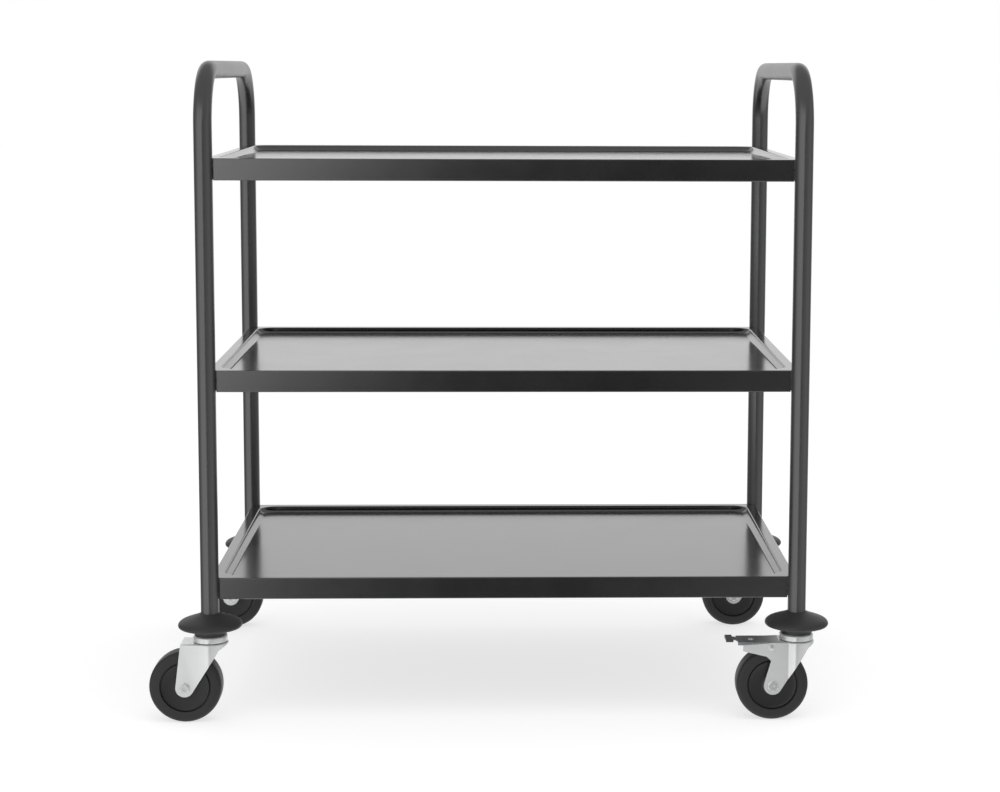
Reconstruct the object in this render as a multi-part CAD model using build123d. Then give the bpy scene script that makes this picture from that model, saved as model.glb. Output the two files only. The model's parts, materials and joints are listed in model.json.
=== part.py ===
from build123d import *
import math
import os

# Driving sizes, in millimetres.
# The frame: two bent tubes, one at each end of the trolley.
leg_spacing_x = 812.0
leg_spacing_y = 502.0
tube_diameter = 25.0
tube_wall = 1.5
handle_above_top_tray = 131.0
handle_bend_radius = 75.0

# The trays, pressed from sheet. A tray's height is that of its rim.
tray_above_bumpers = 17.5
tray_spacing = 289.0
tray_end_inset = 1.0
tray_front_inset = 4.0
tray_lip = 30.0
tray_sheet = 1.0
rim_width = 15.0
recess_depth = 8.0
recess_slope_run = 16.0
recess_corner_radius = 25.0
recess_floor_radius = 10.0
return_flange = 8.0
tube_notch_gap = 0.8

# The bolts that hold a tray's corners to the tubes, at 45 degrees. A nut keeps
# the tray's web off the tube, and the bolt is screwed into the tube's wall.
bolt_drop = 19.0
bolt_diameter = 6.0
bolt_head_flats = 10.0
bolt_head_height = 4.0
bolt_reach_in_tube = 8.0
spacer_nut_flats = 10.0
spacer_nut_thickness = 3.5

# The casters.
wheel_diameter = 100.0
wheel_width = 32.0
caster_trail = 34.0
tyre_bore_diameter = 72.0
tyre_shoulder = 3.0
hub_face_step = 1.0
hub_boss_diameter = 23.0
hub_boss_side_gap = 1.0
bush_diameter = 15.0
axle_diameter = 8.0
axle_head_flats = 13.0
axle_head_height = 3.6
axle_nut_height = 6.5
axle_end_past_nut = 1.5
fork_sheet = 2.5
fork_inside_width = 37.0
fork_above_wheel = 9.0
fork_head_radius = 23.0
fork_foot_radius = 12.5
fork_front_reach = 5.0
fork_shoulder_x = 17.5
skirt_height = 2.0
skirt_foot_x = 14.0
skirt_foot_drop = 8.5
race_gap = 1.2
cap_diameter = 47.5
cap_height = 8.3
cap_wall = 2.2
cap_shoulder = 2.0
stem_diameter = 12.0
stem_length_in_tube = 34.0
stem_head_diameter = 28.0
stem_head_height = 3.0
stem_rivet_diameter = 17.0
stem_rivet_height = 2.0
ball_diameter = 6.4
ball_side_gap = 0.35

# The rubber bumpers.
bumper_diameter = 88.0
bumper_neck_diameter = 43.0
bumper_neck_height = 8.0
bumper_height = 30.5
bumper_socket_floor = 17.0
bumper_rim_bottom = 10.5
bumper_rim_middle = 14.0
bumper_rim_top = 18.5
bumper_rim_round = 2.0
plug_length = 30.0

# The brake on the two casters at the right.
brake_angle = 9.0
pivot_ahead_of_wheel = 3.0
pivot_drop = 7.0
pivot_diameter = 5.0
wing_reach = 39.0
wing_depth = 8.0
wing_droop = 4.0
wing_root_drop = 26.0
wing_root_rise = 6.0
lever_sheet = 1.5
lever_side_gap = 0.7
lever_head_gap = 2.0
lever_reach = 49.0
lever_flange = 4.5
lever_ear_radius = 4.5
lever_window_length = 8.0
lever_window_width = 12.0
lever_window_from_end = 20.0
lever_drop = 0.2
tongue_rise = 1.5
tongue_width = 16.0
pedal_past_lever = 15.8
pedal_length = 10.0
pedal_width = 26.0
pedal_thickness = 3.8
pedal_socket_wall = 2.9
shoe_length = 14.0
shoe_width = 22.0
shoe_behind_pivot = 18.0
shoe_sheet = 2.0
pin_head_diameter = 8.0
pin_head_height = 1.2

# Clearances.
running_fit = 0.05
seat_gap = 0.05
face_gap = 0.3
hole_gap = 0.3

# What follows from them.
tube_radius = tube_diameter / 2
tube_bore_radius = tube_radius - tube_wall
wheel_radius = wheel_diameter / 2
fork_plate_bottom = wheel_diameter + fork_above_wheel
fork_height = fork_plate_bottom + fork_sheet
fork_half_width = fork_inside_width / 2 + fork_sheet
cap_bottom = fork_height + race_gap
cap_top = cap_bottom + cap_height
bumper_top = cap_top + bumper_height
tube_foot = cap_top + bumper_socket_floor
bottom_tray_height = bumper_top + tray_above_bumpers + tray_lip
tray_heights = {
    "bottom": bottom_tray_height,
    "middle": bottom_tray_height + tray_spacing,
    "top": bottom_tray_height + 2 * tray_spacing,
}
handle_top_height = tray_heights["top"] + handle_above_top_tray
tray_length = leg_spacing_x - 2 * tray_end_inset
tray_depth = leg_spacing_y - 2 * tray_front_inset
recess_length = tray_length - 2 * rim_width
recess_width = tray_depth - 2 * rim_width
web_distance = tube_radius + spacer_nut_thickness
stem_radius = stem_diameter / 2
lever_top = fork_height - lever_drop
pivot_x = -caster_trail - pivot_ahead_of_wheel
pivot_height = fork_height - pivot_drop
plate_end = -cap_diameter / 2 - lever_head_gap
lever_left = -caster_trail - lever_reach
pedal_left = lever_left - pedal_past_lever

# All casters trail to the left, so the box reaches further there. The origin
# is at the middle of the box, and this moves the frame to the right of it.
reach_left = caster_trail + wheel_radius
reach_right = bumper_diameter / 2
frame_x = (reach_left - reach_right) / 2

sides = {"left": -1, "right": 1}
ends = {"front": -1, "rear": 1}
corners = {
    f"{end}_{side}": (frame_x + sx * leg_spacing_x / 2, sy * leg_spacing_y / 2, sx, sy)
    for end, sy in ends.items()
    for side, sx in sides.items()
}


def turned(points, axis=Axis.Z):
    """A solid of revolution. Points are (radius, distance along the axis)."""
    plane = Plane.XZ if axis == Axis.Z else Plane.XY
    return revolve(plane * make_face(Polyline(*points, close=True)), axis)


def slab(outline, low, high):
    """An outline in plan, filled from one height to another."""
    return Pos(0, 0, low) * extrude(outline, high - low)


def side_slab(outline, half_width):
    """An outline in side view, X and Z, filled to both sides of the middle."""
    return extrude(Plane.XZ * outline, half_width, both=True)


def fixing_places(height):
    """Where a tray is bolted: Z runs from the tube's middle into the tray."""
    for x, y, sx, sy in corners.values():
        inwards = (-sx / math.sqrt(2), -sy / math.sqrt(2), 0)
        yield Location(Plane((x, y, height - bolt_drop), (0, 0, 1), inwards))


def end_frame(x):
    """A tube bent twice, so that its middle is the push handle."""
    y = leg_spacing_y / 2
    top = handle_top_height - tube_radius
    path = FilletPolyline(
        (x, -y, tube_foot), (x, -y, top), (x, y, top), (x, y, tube_foot),
        radius=handle_bend_radius,
    )
    section = Circle(tube_radius) - Circle(tube_bore_radius)
    tube = sweep(Plane((x, -y, tube_foot)) * section, path)
    hole = Pos(0, 0, web_distance / 2) * Cylinder(bolt_diameter / 2 + seat_gap, web_distance)
    for height in tray_heights.values():
        for place in fixing_places(height):
            if abs(place.position.X - x) < tube_radius:
                tube -= place * hole
    return tube


def tray(height):
    """A pressed tray: recess, flat rim, folded lips and a web at each corner."""
    a, b = tray_length / 2, tray_depth / 2
    far_x, far_y = leg_spacing_x / 2, leg_spacing_y / 2
    cut = web_distance * math.sqrt(2)
    web_y = far_x - a + far_y - cut
    web_x = far_y - b + far_x - cut
    quarter = [(a, web_y), (web_x, b)]
    outline = make_face(Polyline(
        *quarter,
        *[(-x, y) for x, y in reversed(quarter)],
        *[(-x, -y) for x, y in quarter],
        *[(x, -y) for x, y in reversed(quarter)],
        close=True,
    ))
    tubes = Sketch() + [
        Pos(sx * far_x, sy * far_y) * Circle(tube_radius + tube_notch_gap)
        for sx in (-1, 1) for sy in (-1, 1)
    ]
    full = Rectangle(tray_length, tray_depth)
    inside = Rectangle(tray_length - 2 * tray_sheet, tray_depth - 2 * tray_sheet)
    foot = height - tray_lip

    lips = slab(full - inside - tubes, foot, height)
    webs = slab(outline - offset(outline, -tray_sheet, kind=Kind.INTERSECTION), foot, height)
    flange_ring = outline - offset(
        outline, -tray_sheet - return_flange, kind=Kind.INTERSECTION
    )
    flange = slab(flange_ring, foot, foot + tray_sheet)
    rim = slab(full - tubes, height - tray_sheet, height)
    recess = Pos(0, 0, height) * loft([
        RectangleRounded(recess_length, recess_width, recess_corner_radius),
        Pos(0, 0, -recess_depth) * RectangleRounded(
            recess_length - 2 * recess_slope_run,
            recess_width - 2 * recess_slope_run,
            recess_floor_radius,
        ),
    ], ruled=True)
    hole = Pos(0, 0, web_distance) * Cylinder(bolt_diameter / 2 + hole_gap, 4 * tray_sheet)
    shift = Pos(frame_x, 0, 0)
    webs = shift * webs
    for place in fixing_places(height):
        webs -= place * hole
    pressed = rim + Pos(0, 0, -tray_sheet) * recess - recess
    return shift * (pressed + lips + flange) + webs


def tray_bolt():
    """A bolt from inside the tray's web into the tube, along Z from the tube's middle."""
    head_seat = web_distance + tray_sheet
    shank_foot = tube_radius - bolt_reach_in_tube
    bolt = Pos(0, 0, shank_foot) * extrude(Circle(bolt_diameter / 2), head_seat - shank_foot)
    head = RegularPolygon(bolt_head_flats / 2, 6, major_radius=False)
    return bolt + Pos(0, 0, head_seat) * extrude(head, bolt_head_height)


def spacer_nut():
    """The nut between the tube and the tray's web, along Z from the tube's middle."""
    ring = RegularPolygon(spacer_nut_flats / 2, 6, major_radius=False)
    ring -= Circle(bolt_diameter / 2 + hole_gap)
    return Pos(0, 0, tube_radius + seat_gap) * extrude(ring, spacer_nut_thickness - seat_gap)


def bumper():
    """A rubber disc with a socket for the tube's end, on the caster's stem."""
    edge = bumper_diameter / 2
    socket = tube_radius + seat_gap
    shaft = stem_radius + seat_gap
    neck = bumper_neck_diameter / 2
    return turned([
        (shaft, cap_top), (neck, cap_top), (neck, cap_top + bumper_neck_height),
        (edge - bumper_rim_round / 2, cap_top + bumper_rim_bottom),
        (edge, cap_top + bumper_rim_middle), (edge - bumper_rim_round, cap_top + bumper_rim_top),
        (socket, bumper_top), (socket, tube_foot), (shaft, tube_foot),
    ])


def stem():
    """The threaded stem. Its head and rivet hold the fork from below."""
    head_top = fork_plate_bottom - face_gap
    head_foot = head_top - stem_head_height
    head, rivet = stem_head_diameter / 2, stem_rivet_diameter / 2
    top = tube_foot + stem_length_in_tube
    return turned([
        (0, head_foot - stem_rivet_height), (rivet, head_foot - stem_rivet_height),
        (head, head_foot), (head, head_top), (stem_radius, head_top),
        (stem_radius, top), (0, top),
    ])


def stem_plug():
    """The plug that grips the stem inside the tube."""
    foot, top = tube_foot + face_gap, tube_foot + plug_length
    inner, outer = stem_radius + seat_gap, tube_bore_radius - seat_gap
    return turned([(inner, foot), (outer, foot), (outer, top), (inner, top)])


def swivel_cap():
    """The pressed cup over the upper balls."""
    outer = cap_diameter / 2
    bore = stem_radius + seat_gap
    roof = cap_top - cap_wall
    return turned([
        (bore, roof), (outer - cap_wall, roof), (outer - cap_wall, cap_bottom),
        (outer, cap_bottom), (outer, cap_top - cap_shoulder),
        (outer - cap_shoulder, cap_top), (bore, cap_top),
    ])


def ball_ring():
    """The ring of balls between the fork and the cap, as one ring."""
    half = ball_diameter / 2
    middle = cap_diameter / 2 - cap_wall - ball_side_gap - half
    floor = fork_height + face_gap
    roof = min(cap_top - cap_wall - seat_gap, floor + ball_diameter)
    return turned([
        (middle - half, (floor + roof) / 2), (middle, floor),
        (middle + half, (floor + roof) / 2), (middle, roof),
    ])


def fork_plan(left, half_width, head_radius):
    """Straight legs that flare from their shoulders to the round head, in plan."""
    shoulder = [(-fork_shoulder_x, -half_width), (-fork_shoulder_x, half_width)]
    legs = Polygon((left, -half_width), *shoulder, (left, half_width), align=None)
    return legs + make_hull([*Circle(head_radius).edges(), Line(*shoulder)])


def fork(braked):
    """A pressed fork round the swivel axis, with its wheel to the left."""
    top = fork_height
    left = pivot_x - wing_reach if braked else -caster_trail - fork_front_reach
    outer = fork_plan(left, fork_half_width, fork_head_radius)
    inner = fork_plan(2 * left, fork_inside_width / 2, fork_head_radius - fork_sheet)
    shell = slab(outer, 0, top) - slab(inner, 0, fork_plate_bottom)

    skirt_foot = (skirt_foot_x, top - skirt_foot_drop)
    skirt = [(fork_head_radius, top - skirt_height), (fork_head_radius, top)]
    if braked:
        root = (pivot_x, top - wing_root_drop)
        crown = [
            (plate_end, top), (left, top - wing_droop), (left, top - wing_droop - wing_depth),
            (root[0] - wing_root_rise, root[1] + wing_root_rise),
        ]
        gap = Pos((left + plate_end) / 2, 0) * Rectangle(plate_end - left, fork_inside_width)
        shell -= slab(gap, fork_plate_bottom, top)
    else:
        root = (left, top)
        crown = []
    axle = (-caster_trail, wheel_radius)
    leg = make_hull(
        (Pos(*axle) * Circle(fork_foot_radius)).edges()
        + Polygon(root, skirt_foot, axle, align=None).edges()
    )
    side = leg + Polygon(root, skirt_foot, *skirt, *crown, align=None)
    body = shell & side_slab(side, fork_head_radius)
    body -= slab(Circle(stem_radius + running_fit), fork_plate_bottom, top)
    body -= cross_hole(*axle, axle_diameter / 2 + seat_gap)
    if braked:
        body -= cross_hole(pivot_x, pivot_height, pivot_diameter / 2 + seat_gap)
    return body


def cross_hole(x, height, radius):
    """A hole straight through both legs of a fork or both cheeks of a lever."""
    return side_slab(Pos(x, height) * Circle(radius), 2 * fork_half_width)


def at_axle(shape):
    """Moves a piece made round the Y axis to the wheel's middle."""
    return Pos(-caster_trail, 0, wheel_radius) * shape


def tyre():
    """The rubber tread, round the hub."""
    half, edge, bore = wheel_width / 2, wheel_radius, tyre_bore_diameter / 2
    flank = edge - tyre_shoulder
    side = [(bore, half), (flank, half), (edge, half - tyre_shoulder)]
    return at_axle(turned(side + [(r, -y) for r, y in reversed(side)], Axis.Y))


def hub():
    """The plastic wheel body, with a boss that runs between the fork's legs."""
    bore = bush_diameter / 2 + seat_gap
    edge = tyre_bore_diameter / 2 - seat_gap
    boss = hub_boss_diameter / 2
    boss_face = fork_inside_width / 2 - hub_boss_side_gap
    face = wheel_width / 2 - hub_face_step
    side = [(bore, boss_face), (boss, boss_face), (boss, face), (edge, face)]
    return at_axle(turned(side + [(r, -y) for r, y in reversed(side)], Axis.Y))


def bush():
    """The bearing bush, pressed into the hub."""
    inner, outer = axle_diameter / 2 + running_fit, bush_diameter / 2
    half = fork_inside_width / 2 - hub_boss_side_gap
    return at_axle(turned([(inner, -half), (outer, -half), (outer, half), (inner, half)], Axis.Y))


def axle_and_nut():
    """The axle bolt, with its head at the front and its nut at the back."""
    reach = fork_half_width
    head = RegularPolygon(axle_head_flats / 2, 6, major_radius=False)
    towards_back = Plane((0, 0, 0), (0, 0, 1), (0, 1, 0))
    end = reach + axle_nut_height + axle_end_past_nut
    shank = extrude(towards_back.offset(-reach) * Circle(axle_diameter / 2), reach + end)
    bolt = shank + extrude(towards_back.offset(-reach) * head, -axle_head_height)
    bore = Circle(axle_diameter / 2 + seat_gap)
    nut = extrude(towards_back.offset(reach) * (head - bore), axle_nut_height)
    return at_axle(bolt), at_axle(nut)


def lever():
    """The brake lever: a channel between the fork's wings, with a tongue for the pedal."""
    half = fork_inside_width / 2 - lever_side_gap
    right, left = plate_end - face_gap, lever_left
    plate_foot = lever_top - lever_sheet
    length = right - left
    middle = (left + right) / 2
    window = Pos(left + lever_window_from_end, 0) * Rectangle(
        lever_window_length, lever_window_width
    )
    plate = slab(Pos(middle, 0) * Rectangle(length, 2 * half) - window, plate_foot, lever_top)
    ear = make_hull(
        (Pos(pivot_x, pivot_height) * Circle(lever_ear_radius)).edges()
        + Polygon(
            (right, lever_top), (right, lever_top - lever_flange),
            (pivot_x - 2 * lever_ear_radius, lever_top), align=None,
        ).edges()
    )
    cheek = ear + Pos(middle, lever_top - lever_flange / 2) * Rectangle(length, lever_flange)
    cheeks = side_slab(cheek, half) - side_slab(cheek, half - lever_sheet)
    cheeks -= cross_hole(pivot_x, pivot_height, pivot_diameter / 2 + running_fit)
    bend = left - 2 * tongue_rise
    tip = pedal_left + pedal_socket_wall
    over = [(left, lever_top), (bend, lever_top + tongue_rise), (tip, lever_top + tongue_rise)]
    under = [(x, z - lever_sheet) for x, z in reversed(over)]
    tongue = side_slab(Polygon(*over, *under, align=None), tongue_width / 2)
    return plate + cheeks + tongue


def pedal():
    """The plastic pedal, pushed on to the lever's tongue."""
    middle = lever_top + tongue_rise - lever_sheet / 2
    at_left = (Align.MIN, Align.CENTER, Align.CENTER)
    block = Box(pedal_length, pedal_width, pedal_thickness, align=at_left)
    block = chamfer(block.edges().filter_by(Axis.Y).group_by(Axis.Z)[-1], lever_sheet / 2)
    socket = Box(
        pedal_length, tongue_width + 2 * seat_gap, lever_sheet + 2 * seat_gap, align=at_left
    )
    return Pos(pedal_left, 0, middle) * (block - Pos(pedal_socket_wall - seat_gap, 0, 0) * socket)


def brake_shoe():
    """The steel shoe: a bridge under the lever, whose foot fits the tyre at full travel."""
    x = pivot_x - shoe_behind_pivot
    seat = lever_top - lever_sheet
    clear = wheel_radius + face_gap
    wheel = Pos(pivot_x, pivot_height) * Rot(0, 0, -brake_angle) * Pos(
        pivot_ahead_of_wheel, wheel_radius - pivot_height
    )
    block = Pos(x, seat - wheel_radius / 2) * Rectangle(shoe_length, wheel_radius)
    gap = Pos(x, seat - wheel_radius / 2) * Rectangle(shoe_length - 2 * shoe_sheet, wheel_radius)
    bridge = block - wheel * Circle(clear) - (gap - wheel * Circle(clear + shoe_sheet))
    return side_slab(bridge, shoe_width / 2)


def pivot_pin():
    """The pin that the lever turns on, with a riveted head outside each wing."""
    end = fork_half_width + pin_head_height
    radius, head = pivot_diameter / 2, pin_head_diameter / 2
    side = [(0, end), (head, end), (head, fork_half_width), (radius, fork_half_width)]
    pin = turned(side + [(r, -y) for r, y in reversed(side)], Axis.Y)
    return Pos(pivot_x, 0, pivot_height) * pin


def group(shapes):
    """Several separate solids in one node."""
    return Compound(children=[solid for shape in shapes for solid in shape.solids()])


def build():
    """Every node of the trolley, by name."""
    nodes = {}
    for side, sx in sides.items():
        nodes[f"{side}_end_frame"] = end_frame(frame_x + sx * leg_spacing_x / 2)
    for level, height in tray_heights.items():
        nodes[f"{level}_tray"] = tray(height)
    fixings = [p for height in tray_heights.values() for p in fixing_places(height)]
    nodes["tray_bolts"] = group([place * tray_bolt() for place in fixings])
    nodes["tray_spacer_nuts"] = group([place * spacer_nut() for place in fixings])
    fixed = {
        "bumpers": bumper(), "stem_plugs": stem_plug(), "caster_stems": stem(),
        "swivel_caps": swivel_cap(), "swivel_ball_rings": ball_ring(),
    }
    for name, piece in fixed.items():
        nodes[name] = group([Pos(x, y, 0) * piece for x, y, _, _ in corners.values()])
    axle, nut = axle_and_nut()
    swivelling = {
        "axle_bolt": axle, "axle_nut": nut, "wheel_hub": hub(), "wheel_bush": bush(),
        "tyre": tyre(),
    }
    braked_only = {
        "brake_lever": lever(), "brake_pedal": pedal(), "brake_shoe": brake_shoe(),
        "brake_pivot_pin": pivot_pin(),
    }
    forks = {-1: fork(braked=False), 1: fork(braked=True)}
    for corner, (x, y, sx, _) in corners.items():
        pieces = {**swivelling, "caster_fork": forks[sx]}
        if sx > 0:
            pieces.update(braked_only)
        for name, piece in pieces.items():
            nodes[f"{name}_{corner}"] = Pos(x, y, 0) * piece
    return nodes


os.makedirs("parts", exist_ok=True)
for name, shape in build().items():
    export_step(shape, f"parts/{name}.step")
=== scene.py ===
"""Serving trolley with three pressed trays between two bent-tube ends, on swivel casters."""
import json
import math

import bpy
from mathutils import Matrix, Vector


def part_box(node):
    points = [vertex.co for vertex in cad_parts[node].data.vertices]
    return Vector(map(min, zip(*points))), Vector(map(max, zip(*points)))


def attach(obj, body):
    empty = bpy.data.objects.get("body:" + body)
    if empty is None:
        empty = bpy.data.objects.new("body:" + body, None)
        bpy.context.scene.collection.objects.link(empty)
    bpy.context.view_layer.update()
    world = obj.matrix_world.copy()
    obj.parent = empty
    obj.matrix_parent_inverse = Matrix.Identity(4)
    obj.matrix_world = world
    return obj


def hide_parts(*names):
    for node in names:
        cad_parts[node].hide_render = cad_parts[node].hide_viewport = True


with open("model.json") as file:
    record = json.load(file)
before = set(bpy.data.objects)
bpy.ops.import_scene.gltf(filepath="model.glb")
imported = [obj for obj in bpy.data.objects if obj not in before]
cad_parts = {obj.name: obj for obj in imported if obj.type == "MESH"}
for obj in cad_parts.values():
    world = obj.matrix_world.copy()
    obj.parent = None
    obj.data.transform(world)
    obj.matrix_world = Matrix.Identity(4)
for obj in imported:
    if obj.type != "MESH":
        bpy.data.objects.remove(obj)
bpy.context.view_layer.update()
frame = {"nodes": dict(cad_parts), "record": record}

# The camera stands in front of the trolley, a little over its handles, with a long lens.
# The frame is shifted, so that the trolley stands where it does in the photograph.
lens_length, film_width = 76.323, 36
frame_shift_right, frame_shift_up = -0.0628, -0.08
camera_place = Vector((0.01699, -3.12112, 0.90167))
camera_turned_right, camera_tipped_down, camera_rolled = 0.02864, 0.11716, 0.00389
camera = bpy.data.objects.new("camera", bpy.data.cameras.new("camera"))
bpy.context.collection.objects.link(camera)
bpy.context.scene.camera = camera
camera.data.lens = lens_length
camera.data.sensor_width = film_width
camera.data.shift_x = frame_shift_right
camera.data.shift_y = frame_shift_up
camera.matrix_world = (Matrix.Translation(camera_place) @ Matrix.Rotation(-camera_turned_right, 4, "Z")
                       @ Matrix.Rotation(math.pi / 2 - camera_tipped_down, 4, "X")
                       @ Matrix.Rotation(camera_rolled, 4, "Z"))
bpy.context.scene.view_settings.view_transform = "Standard"

# The studio is plain white to the camera and lights the trolley evenly, with one soft lamp above.
# Gloss mirrors its walls: white behind the trolley, light at the left up to a bright screen beside
# the camera, dark behind the camera, and grey at the right.
even_light, floor_in_gloss, ceiling_in_gloss, high_walls_in_gloss = 0.75, 1.0, 0.4, 0.35
walls_in_gloss = (  # degrees to the right of the camera, and the light there
    (-150, 1), (-132, 0.18), (-110, 0.22), (-90, 0.36), (-72, 0.7), (-56, 0.95), (-30, 0.9), (-14, 1),
    (-8, 1.5), (-6, 1.2), (-2.6, 0.1), (0, 0.01), (8.5, 0.01), (13, 0.3), (34, 0.35), (60, 0.5), (85, 0.5),
    (112, 0.3), (132, 0.35), (150, 1))
walls_lean = -18 / 360
walls_foot, walls_top, high_walls, horizon = (-0.46, -0.3), (0.62, 0.42), (0.0, 0.2), (-0.1, 0.1)
lamp_place, lamp_aim = Vector((0.3, -0.6, 3.2)), Vector((0, 0, 0.4))
lamp_width, lamp_watts = 2.5, 28
world = bpy.data.worlds.new("studio")
bpy.context.scene.world = world
world.use_nodes = True
shade = world.node_tree
shade.nodes.clear()


def add_node(tree, kind, **settings):
    """A shader node with its settings, and its inputs given by name or number."""
    node = tree.nodes.new(kind)
    inputs = settings.pop("inputs", {})
    for key, value in settings.items():
        setattr(node, key, value)
    for key, value in inputs.items():
        if isinstance(value, bpy.types.NodeSocket):
            tree.links.new(value, node.inputs[key])
        else:
            node.inputs[key].default_value = value
    return node


def seen_directly(tree):
    """1 for rays from the camera."""
    return add_node(tree, "ShaderNodeLightPath").outputs["Is Camera Ray"]


def seen_in_gloss(tree):
    """1 for rays that a glossy or clear surface sends on."""
    path = add_node(tree, "ShaderNodeLightPath")
    return add_node(tree, "ShaderNodeMath", operation="MAXIMUM", inputs={
        0: path.outputs["Is Glossy Ray"], 1: path.outputs["Is Transmission Ray"]}).outputs[0]


def blend(tree, low, high, value):
    """0 below low, 1 above high, and a soft change between them."""
    return add_node(tree, "ShaderNodeMapRange", interpolation_type="SMOOTHSTEP", inputs={
        "Value": value, "From Min": low, "From Max": high}).outputs[0]


def grey(light):
    """A grey of a lightness, as a socket takes it."""
    return (light, light, light, 1)


look = add_node(shade, "ShaderNodeSeparateXYZ", inputs={
    0: add_node(shade, "ShaderNodeTexCoord").outputs["Generated"]})
towards_camera = add_node(shade, "ShaderNodeMath", operation="MULTIPLY", inputs={
    0: look.outputs["Y"], 1: -1.0})
round_about = add_node(shade, "ShaderNodeMath", operation="ARCTAN2", inputs={
    0: look.outputs["X"], 1: towards_camera.outputs[0]})
round_about = add_node(shade, "ShaderNodeMapRange", inputs={
    "Value": round_about.outputs[0], "From Min": -math.pi, "From Max": math.pi}).outputs[0]
lean = add_node(shade, "ShaderNodeMath", operation="MULTIPLY_ADD", inputs={
    0: look.outputs["Z"], 1: walls_lean, 2: round_about}).outputs[0]
walls = add_node(shade, "ShaderNodeValToRGB", inputs={"Fac": lean})
walls.color_ramp.elements[0].color = walls.color_ramp.elements[1].color = grey(1)
for degrees, light in walls_in_gloss:
    walls.color_ramp.elements.new((degrees + 180) / 360).color = grey(light)
at_eye_level = add_node(shade, "ShaderNodeMath", operation="MULTIPLY", inputs={
    0: blend(shade, *walls_foot, look.outputs["Z"]), 1: blend(shade, *walls_top, look.outputs["Z"])})
floor_or_ceiling = add_node(shade, "ShaderNodeMix", data_type="RGBA", inputs={
    "Factor": blend(shade, *horizon, look.outputs["Z"]),
    "A": grey(floor_in_gloss), "B": grey(ceiling_in_gloss)})
lifted_walls = add_node(shade, "ShaderNodeMix", data_type="RGBA", blend_type="LIGHTEN", inputs={
    "Factor": blend(shade, *high_walls, look.outputs["Z"]),
    "A": walls.outputs["Color"], "B": grey(high_walls_in_gloss)})
studio = add_node(shade, "ShaderNodeMix", data_type="RGBA", inputs={
    "Factor": at_eye_level.outputs[0],
    "A": floor_or_ceiling.outputs["Result"], "B": lifted_walls.outputs["Result"]})
in_gloss = add_node(shade, "ShaderNodeMix", data_type="RGBA", inputs={
    "Factor": seen_in_gloss(shade), "A": grey(even_light), "B": studio.outputs["Result"]})
backdrop = add_node(shade, "ShaderNodeMix", data_type="RGBA", inputs={
    "Factor": seen_directly(shade), "A": in_gloss.outputs["Result"], "B": grey(1)})
add_node(shade, "ShaderNodeOutputWorld", inputs={"Surface": add_node(shade, "ShaderNodeBackground", inputs={
    "Color": backdrop.outputs["Result"], "Strength": 1.0}).outputs[0]})
world.cycles.sampling_method = "NONE"
lamp = bpy.data.objects.new("lamp_above", bpy.data.lights.new("lamp_above", "AREA"))
bpy.context.collection.objects.link(lamp)
lamp.data.size = lamp_width
lamp.data.energy = lamp_watts
lamp.location = lamp_place
lamp.rotation_euler = (lamp_aim - lamp_place).to_track_quat("-Z", "Y").to_euler()
lamp.visible_camera = lamp.visible_glossy = False

# The floor is a plain white sheet. To the camera part of its light is its own,
# so that it runs into the white backdrop and still keeps the trolley's soft shadows.
floor_width = 40
floor_shade, floor_glow, floor_bounce = 0.45, 0.67, 0.75
bpy.ops.object.select_all(action="DESELECT")
bpy.ops.mesh.primitive_plane_add(size=floor_width)
floor = bpy.context.object
floor.name = "floor"
floor.data.materials.append(bpy.data.materials.new("white_floor"))
floor.active_material.use_nodes = True
shade = floor.active_material.node_tree
shade.nodes.clear()
shadow_keeper = add_node(shade, "ShaderNodeBsdfDiffuse", inputs={"Color": grey(floor_shade)})
own_light = add_node(shade, "ShaderNodeEmission", inputs={"Color": grey(1), "Strength": floor_glow})
lit_floor = add_node(shade, "ShaderNodeAddShader", inputs={
    0: shadow_keeper.outputs[0], 1: own_light.outputs[0]})
plain_floor = add_node(shade, "ShaderNodeBsdfDiffuse", inputs={"Color": grey(floor_bounce)})
floor.visible_glossy = False
add_node(shade, "ShaderNodeOutputMaterial", inputs={"Surface": add_node(shade, "ShaderNodeMixShader", inputs={
    0: seen_directly(shade), 1: plain_floor.outputs[0], 2: lit_floor.outputs[0]}).outputs[0]})

# The two end frames are each one steel tube of 25 mm, bent twice, so that its top is the handle.
# They carry the black powder coat of the whole trolley: satin, with a fine orange peel.
mm = 0.001
same_place = 0.01 * mm
tube_radius, tube_wall, tube_bend = 12.5 * mm, 1.5 * mm, 75 * mm
tube_sides, tube_bend_steps = 48, 20
coat_black, coat_rubbed, coat_gloss = (0.013, 0.013, 0.0135), (0.026, 0.026, 0.027), 2.15
tube_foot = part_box("left_end_frame")[0].z
handle_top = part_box("left_end_frame")[1].z
leg_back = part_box("left_end_frame")[1].y - tube_radius


def grain_group():
    """Fine grain of a moulded, sprayed or rolled face, as a bump."""
    group = bpy.data.node_groups.new("surface_grain", "ShaderNodeTree")
    for name, value in (("Size", 400.0), ("Depth", 0.1)):
        group.interface.new_socket(name, in_out="INPUT", socket_type="NodeSocketFloat").default_value = value
    group.interface.new_socket("Normal", in_out="OUTPUT", socket_type="NodeSocketVector")
    given = group.nodes.new("NodeGroupInput")
    place = add_node(group, "ShaderNodeTexCoord").outputs["Object"]
    noise = add_node(group, "ShaderNodeTexNoise", inputs={
        "Vector": place, "Scale": given.outputs["Size"], "Detail": 2.0, "Roughness": 0.6})
    bump = add_node(group, "ShaderNodeBump", inputs={
        "Strength": given.outputs["Depth"], "Distance": 0.4 * mm, "Height": noise.outputs["Fac"]})
    add_node(group, "NodeGroupOutput", inputs={"Normal": bump.outputs[0]})
    return group


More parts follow.
